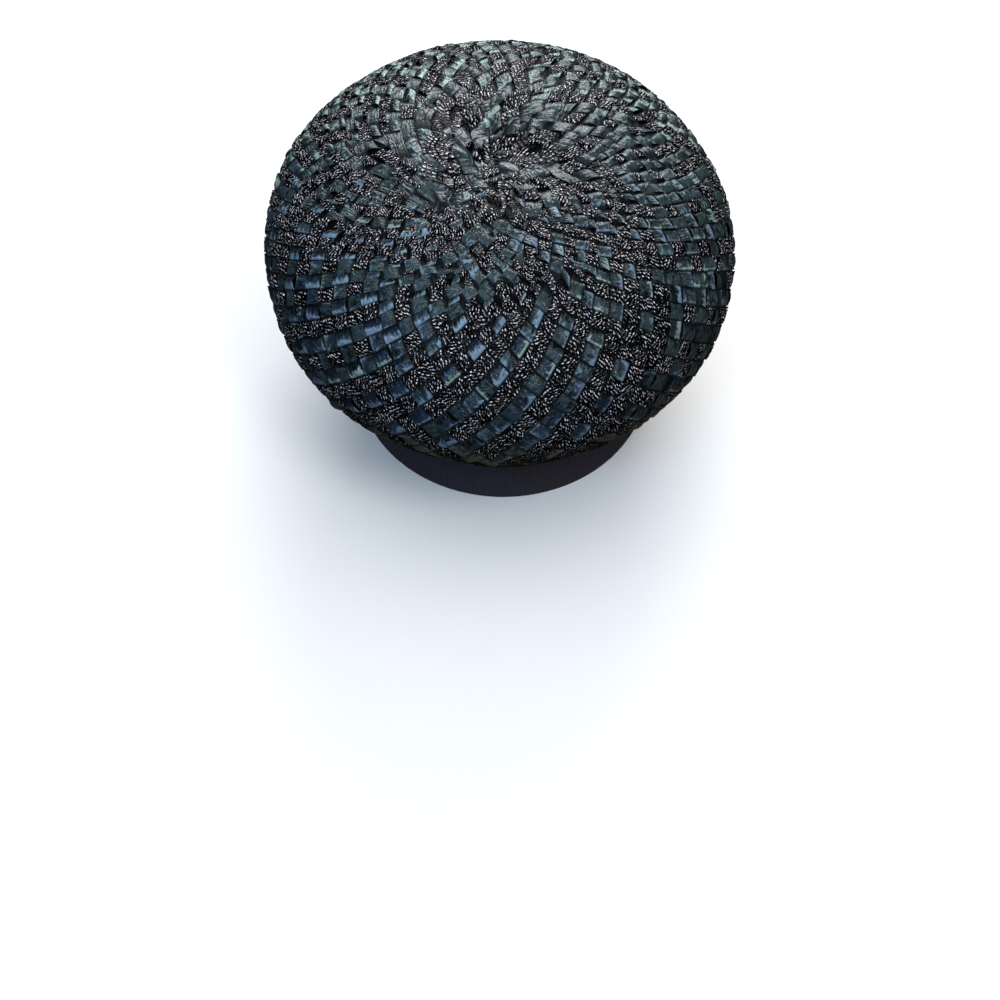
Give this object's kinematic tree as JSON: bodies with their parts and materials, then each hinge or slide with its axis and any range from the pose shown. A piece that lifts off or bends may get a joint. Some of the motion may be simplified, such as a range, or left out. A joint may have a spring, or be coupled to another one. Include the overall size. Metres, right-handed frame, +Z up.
{
  "type": "pillbox hat",
  "caption": "Bubble-crowned pillbox hat of woven dark straw, hollow and open below, with a plain grosgrain ribbon band round its oval head opening.",
  "frame": {"origin": "under the middle of the crown, on the surface that the ribbon's lower edge rests on", "axes": "+Z up through the tip of the crown, Y along the longer way of the oval from front to back, X across it"},
  "size_m": [0.248, 0.2728, 0.1716],
  "materials": {
    "straw": "satin strips of dark blue-green raffia woven with strips of glossy black cords",
    "ribbon": "matt ribbed grosgrain, aubergine black"
  },
  "bodies": {
    "root": {"straw_crown": "straw", "ribbon_band": "ribbon"}
  },
  "joints": []
}
